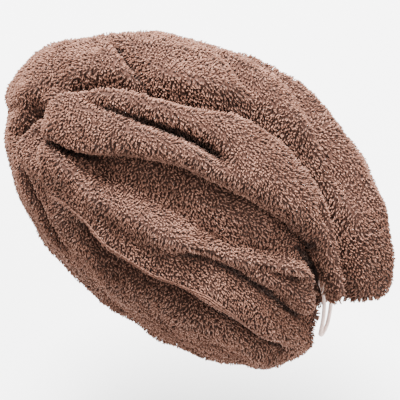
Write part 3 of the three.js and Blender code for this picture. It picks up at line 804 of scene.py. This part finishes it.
def make_tail_pile(rng):
    """Pile over the tail's upper side"""
    def skin(s, across):
        return tail_skin(s, across, np.zeros(np.shape(s), bool))

    first = TAIL_ROOT + TAIL_MARGIN
    last = TAIL_TIP - TAIL_MARGIN
    length = ALONG_LENGTH * (TAIL_TIP - TAIL_ROOT) * TAIL_STRETCH
    places = rows_of_roots(skin, (first, last, length), (0.0, 1.0), rng)
    s = np.clip(places[:, 0], first, last)
    across = np.clip(places[:, 1], TAIL_MARGIN, 1 - TAIL_MARGIN)
    middle, half = drawn_in(s)
    turn = middle + (2 * across - 1) * half
    _, out = on_head(s, turn, 0)
    point, normal = frames_on(skin, s, across, TAIL_NUDGE, out)
    # the strands get painted shade deep in the folds
    return pile_mesh("tail_pile", point, normal, fold_shade_factor(s, turn), rng)


def loop_route():
    """The button's seat and the way out of it, the ways down and across, and the loop's course:
    the way that its free end hangs, its start on the shank, its bend, its end and half its width
    """
    seat, out = on_head(BUTTON_ALONG, BUTTON_ROUND, hood_height(BUTTON_ALONG, BUTTON_ROUND))
    tip, _ = on_head(TAIL_TIP, BUTTON_ROUND, WALL + BED_HEIGHT + TAIL_GAP)
    seat, out, tip = Vector(seat), Vector(out), Vector(tip)
    under = tip - seat
    down = (under - out * under.dot(out)).normalized()
    side = out.cross(down).normalized()
    start = seat + out * (CLEARANCE + (LOOP_BAND_WIDTH + 2 * CLEARANCE) / 2)
    swing = Vector(LOOP_SWING).normalized()
    bend = start + down * under.length
    half = SHANK_DIAMETER / 2 + LOOP_SLACK + LOOP_BAND_THICKNESS / 2
    free = bend + swing * (LOOP_FREE_LENGTH - half)
    return seat, out, down, side, swing, start, bend, free, half


def make_elastic_loop():
    """A torus drawn out round the shank and down past the tail's tip"""
    _, out, down, side, swing, start, bend, free, half = loop_route()

    def on_axis(t):
        return start * (1 - t) ** 2 + bend * 2 * t * (1 - t) + free * t * t

    samples = [on_axis(i / LOOP_SAMPLES) for i in range(LOOP_SAMPLES + 1)]
    lengths = np.cumsum([0] + [(b - a).length for a, b in zip(samples, samples[1:])])
    strand = float(lengths[-1])
    whole = 2 * (strand + math.pi * half)

    def place(travelled):
        d = travelled % whole
        near = d < whole / 2
        rest = d if near else d - whole / 2
        sign = 1 if near else -1
        if rest < strand:
            share = rest / strand if near else 1 - rest / strand
            t = float(np.interp(share * strand, lengths, np.linspace(0, 1, LOOP_SAMPLES + 1)))
            return on_axis(t) + side * sign * half
        angle = (rest - strand) / half
        end = free if near else start
        beyond = swing if near else -down
        return end + side * sign * half * math.cos(angle) + beyond * half * math.sin(angle)

    deselect()
    bpy.ops.mesh.primitive_torus_add(
        major_segments=LOOP_STEPS, minor_segments=LOOP_SIDES, major_radius=1, minor_radius=0.25)
    obj = newest("elastic_loop_band")
    moved = []
    for vertex in obj.data.vertices:
        turn = math.atan2(vertex.co.y, vertex.co.x) % (2 * math.pi)
        ring = math.atan2(vertex.co.z, math.hypot(vertex.co.x, vertex.co.y) - 1)
        travelled = turn / (2 * math.pi) * whole
        at = place(travelled)
        tangent = (place(travelled + LOOP_NUDGE) - place(travelled - LOOP_NUDGE)).normalized()
        thick = tangent.cross(out).normalized()
        wide = thick.cross(tangent).normalized()
        squared = 1 / max(abs(math.cos(ring)), abs(math.sin(ring))) ** LOOP_SQUARENESS
        at = at + thick * (LOOP_BAND_THICKNESS / 2 * squared * math.cos(ring))
        moved.append(at + wide * (LOOP_BAND_WIDTH / 2 * squared * math.sin(ring)))
    move_vertices(obj, np.array(moved) * MM)
    recalculate_outside(obj)
    return obj


def recalculate_outside(obj):
    deselect()
    obj.select_set(True)
    bpy.context.view_layer.objects.active = obj
    bpy.ops.object.mode_set(mode="EDIT")
    bpy.ops.mesh.select_all(action="SELECT")
    bpy.ops.mesh.normals_make_consistent(inside=False)
    bpy.ops.object.mode_set(mode="OBJECT")


def make_button():
    """A disc with a rounded edge on a plain shank"""
    seat, out, *_ = loop_route()
    turned = Vector((0, 0, 1)).rotation_difference(out).to_matrix().to_4x4()
    shank_height = LOOP_BAND_WIDTH + 2 * CLEARANCE
    discs = []
    for radius, low, high in (
        (SHANK_DIAMETER / 2, 0, shank_height + SHANK_OVERLAP),
        (BUTTON_DIAMETER / 2, shank_height, shank_height + BUTTON_THICKNESS),
    ):
        deselect()
        bpy.ops.mesh.primitive_cylinder_add(
            vertices=BUTTON_SIDES, radius=radius * MM, depth=(high - low) * MM)
        disc = newest("button_disc")
        lift = Matrix.Translation(Vector((0, 0, (low + high) / 2 * MM)))
        disc.data.transform(Matrix.Translation((seat + out * CLEARANCE) * MM) @ turned @ lift)
        apply_modifier(
            disc, "BEVEL", width=BUTTON_EDGE * MM, segments=BUTTON_EDGE_STEPS, limit_method="ANGLE")
        discs.append(disc)
    deselect()
    for disc in discs:
        disc.select_set(True)
    bpy.context.view_layer.objects.active = discs[1]
    bpy.ops.object.join()
    return discs[1]


def make_seam(rng):
    """Three rows of short stitches laid along the seam"""
    length = ALONG_LENGTH * (SEAM_ALONG[1] - SEAM_ALONG[0])
    count = int(length / STITCH_SPACING)
    rows = []
    for row in (-1, 0, 1):
        s = lerp(*SEAM_ALONG, (np.arange(count) + 0.5 + STITCH_STAGGER * row) / count)
        s = s + rng.normal(0, STITCH_STRAY, count)
        rows.append(np.stack([s, along(SEAM_LINE, s) + row * SEAM_ROW_GAP / round_scale(s)], -1))
    s, turn = np.concatenate(rows).T
    _, out = on_head(s, turn, 0)
    point, normal = frames_on(hood_skin, s, turn, HOOD_NUDGE, out)
    next_s = s + STITCH_LOOK_AHEAD
    ahead = hood_skin(next_s, turn + (along(SEAM_LINE, next_s) - along(SEAM_LINE, s)))
    way = unit(ahead - point)
    return stitch_mesh("seam_stitches", point + normal * SEAM_LIFT * MM, normal, way, rng)


def stitch_mesh(name, point, normal, way, rng):
    """Short rounded threads lying on the given points"""
    count = len(point)
    side = np.cross(normal, way)
    shares = np.linspace(-1, 1, STITCH_STEPS)
    sides = STITCH_SIDES
    points = np.empty((count, STITCH_STEPS, sides, 3))
    bent = rng.normal(0, STITCH_BEND, count)[:, None] * MM
    for j, share in enumerate(shares):
        centre = point + way * share * STITCH_HALF_LENGTH * MM
        centre = centre + normal * (-STITCH_ARCH * share * share) * MM + side * bent
        girth = SEAM_THREAD * math.sqrt(STITCH_BLUNTNESS - share * share) * MM
        for k in range(sides):
            a = 2 * math.pi * k / sides
            points[:, j, k] = centre + (side * math.cos(a) - normal * math.sin(a)) * girth
    quads = []
    for j in range(STITCH_STEPS - 1):
        for k in range(sides):
            a, b = j * sides + k, j * sides + (k + 1) % sides
            quads.append((a, a + sides, b + sides, b))
    last = (STITCH_STEPS - 1) * sides
    caps = [(0, k, k + 1) for k in range(1, sides - 1)]
    caps += [(last, last + k + 1, last + k) for k in range(1, sides - 1)]
    base = (np.arange(count) * STITCH_STEPS * sides)[:, None, None]
    all_quads = (np.array(quads)[None] + base).reshape(-1, 4)
    all_caps = (np.array(caps)[None] + base).reshape(-1, 3)
    obj = joined_mesh(name, points.reshape(-1, 3), all_quads, all_caps)
    mark_tone(obj, np.full(points.shape[:3], SEAM_TONE))
    return obj


def new_material(name, **inputs):
    material = bpy.data.materials.new(name)
    material.use_nodes = True
    shader = material.node_tree.nodes["Principled BSDF"]
    for key, value in inputs.items():
        shader.inputs[key.replace("_", " ")].default_value = value
    return material, material.node_tree, shader


def ramp(tree, stops, source):
    node = tree.nodes.new("ShaderNodeValToRGB")
    elements = node.color_ramp.elements
    while len(elements) < len(stops):
        elements.new(0.5)
    for element, (at, colour) in zip(elements, stops):
        element.position = at
        element.color = colour
    tree.links.new(source, node.inputs["Fac"])
    return node.outputs["Color"]


def yarn_tone(tree):
    """How light the yarn is, painted shade included, as the pieces carry it"""
    tone = tree.nodes.new("ShaderNodeAttribute")
    tone.attribute_name = "tone"
    return tone.outputs["Fac"]


def pile_material():
    """Looped cotton yarn, coloured by its tone and painted shade from the roots to the tips"""
    material, tree, shader = new_material(
        "terry pile", Roughness=0.95, Sheen_Weight=0.1, Sheen_Roughness=0.5, IOR=1.3)
    shader.inputs["Sheen Tint"].default_value = SHEEN_COLOUR
    tree.links.new(ramp(tree, YARN_AND_SHADE_STOPS, yarn_tone(tree)), shader.inputs["Base Color"])
    return material


def ground_material():
    """Close-cropped terry: the tone of the yarn with its painted shade, broken up by a fine grain"""
    material, tree, shader = new_material("terry ground", Roughness=0.95, IOR=1.35)
    place = tree.nodes.new("ShaderNodeTexCoord")
    noise = tree.nodes.new("ShaderNodeTexNoise")
    noise.inputs["Scale"].default_value = GRAIN_SCALE
    noise.inputs["Detail"].default_value = GRAIN_DETAIL
    tree.links.new(place.outputs["Object"], noise.inputs["Vector"])
    grain = tree.nodes.new("ShaderNodeMath")
    grain.operation = "MULTIPLY"
    tree.links.new(yarn_tone(tree), grain.inputs[0])
    tree.links.new(ramp(tree, GRAIN_STOPS, noise.outputs["Fac"]), grain.inputs[1])
    tree.links.new(ramp(tree, YARN_AND_SHADE_STOPS, grain.outputs[0]), shader.inputs["Base Color"])
    relief = tree.nodes.new("ShaderNodeBump")
    relief.inputs["Strength"].default_value = GRAIN_STRENGTH
    relief.inputs["Distance"].default_value = GRAIN_RELIEF
    tree.links.new(noise.outputs["Fac"], relief.inputs["Height"])
    tree.links.new(relief.outputs["Normal"], shader.inputs["Normal"])
    return material


def elastic_material():
    material, _, shader = new_material("clear elastic", Roughness=0.32, Alpha=0.85, IOR=1.45)
    shader.inputs["Base Color"].default_value = ELASTIC_COLOUR
    return material


def button_material():
    material, _, shader = new_material("button plastic", Roughness=0.4)
    shader.inputs["Base Color"].default_value = BUTTON_COLOUR
    return material


def dress(obj, material):
    """Gives a piece its one material and its slot, shaded smooth, riding on the part's body"""
    obj.data.materials.clear()
    obj.data.materials.append(material)
    obj.data.polygons.foreach_set("use_smooth", np.ones(len(obj.data.polygons), bool))
    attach(obj, "root")


def view_axes():
    """The camera's right, up and backward directions"""
    azimuth = math.radians(VIEW_AZIMUTH)
    elevation = math.radians(VIEW_ELEVATION)
    back = Vector((math.sin(azimuth) * math.cos(elevation), -math.cos(azimuth) * math.cos(elevation),
                   math.sin(elevation)))
    right = Vector((math.cos(azimuth), math.sin(azimuth), 0))
    return right, back.cross(right), back


def add_camera():
    """A camera that sees the origin's surroundings as the photograph does"""
    right, up, back = view_axes()
    middle = PHOTO_PIXELS / 2
    target = Vector(VIEW_CENTRE) + right * ((middle - CENTRE_PIXEL[0]) / PIXELS_PER_METRE)
    target = target + up * ((CENTRE_PIXEL[1] - middle) / PIXELS_PER_METRE)
    data = bpy.data.cameras.new("camera")
    data.angle = 2 * math.atan(middle / PIXELS_PER_METRE / VIEW_DISTANCE)
    camera = bpy.data.objects.new("camera", data)
    turned = Matrix((right, up, back)).transposed().to_4x4()
    camera.matrix_world = Matrix.Translation(target + back * VIEW_DISTANCE) @ turned
    bpy.context.scene.collection.objects.link(camera)
    bpy.context.scene.camera = camera


def add_light(name, direction, distance, size, power):
    """A round soft lamp that looks at the middle of the view"""
    data = bpy.data.lights.new(name, "AREA")
    data.shape = "DISK"
    data.size = size
    data.energy = power
    light = bpy.data.objects.new(name, data)
    way = Vector(direction).normalized()
    light.location = Vector(VIEW_CENTRE) + way * distance
    light.rotation_euler = way.to_track_quat("Z", "Y").to_euler()
    bpy.context.scene.collection.objects.link(light)


def add_studio():
    """A plain pale floor well below the rim, soft daylight all round and a soft key light"""
    deselect()
    bpy.ops.mesh.primitive_plane_add(size=FLOOR_SIZE, location=(0, 0, FLOOR_LEVEL))
    floor = newest("floor")
    material, _, shader = new_material("pale floor", Roughness=0.9)
    shader.inputs["Base Color"].default_value = FLOOR_COLOUR
    floor.data.materials.append(material)
    world = bpy.data.worlds.new("studio")
    world.use_nodes = True
    background = world.node_tree.nodes["Background"]
    background.inputs["Color"].default_value = (1, 1, 1, 1)
    background.inputs["Strength"].default_value = DAYLIGHT
    bpy.context.scene.world = world
    for name, lamp in LAMPS.items():
        add_light(name, *lamp)


add_camera()
add_studio()

random = np.random.default_rng(5)
hood = make_hood()
tail = make_tail()
hood_pile = make_hood_pile(random)
tail_pile = make_tail_pile(random)
seam = make_seam(random)
elastic_loop = make_elastic_loop()
button = make_button()

ground = ground_material()
pile = pile_material()
dress(hood, ground)
dress(tail, ground)
for piece in [*hood_pile, tail_pile, seam]:
    dress(piece, pile)
dress(elastic_loop, elastic_material())
dress(button, button_material())

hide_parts("hood")
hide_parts("tail")
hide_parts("elastic_loop")
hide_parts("button")
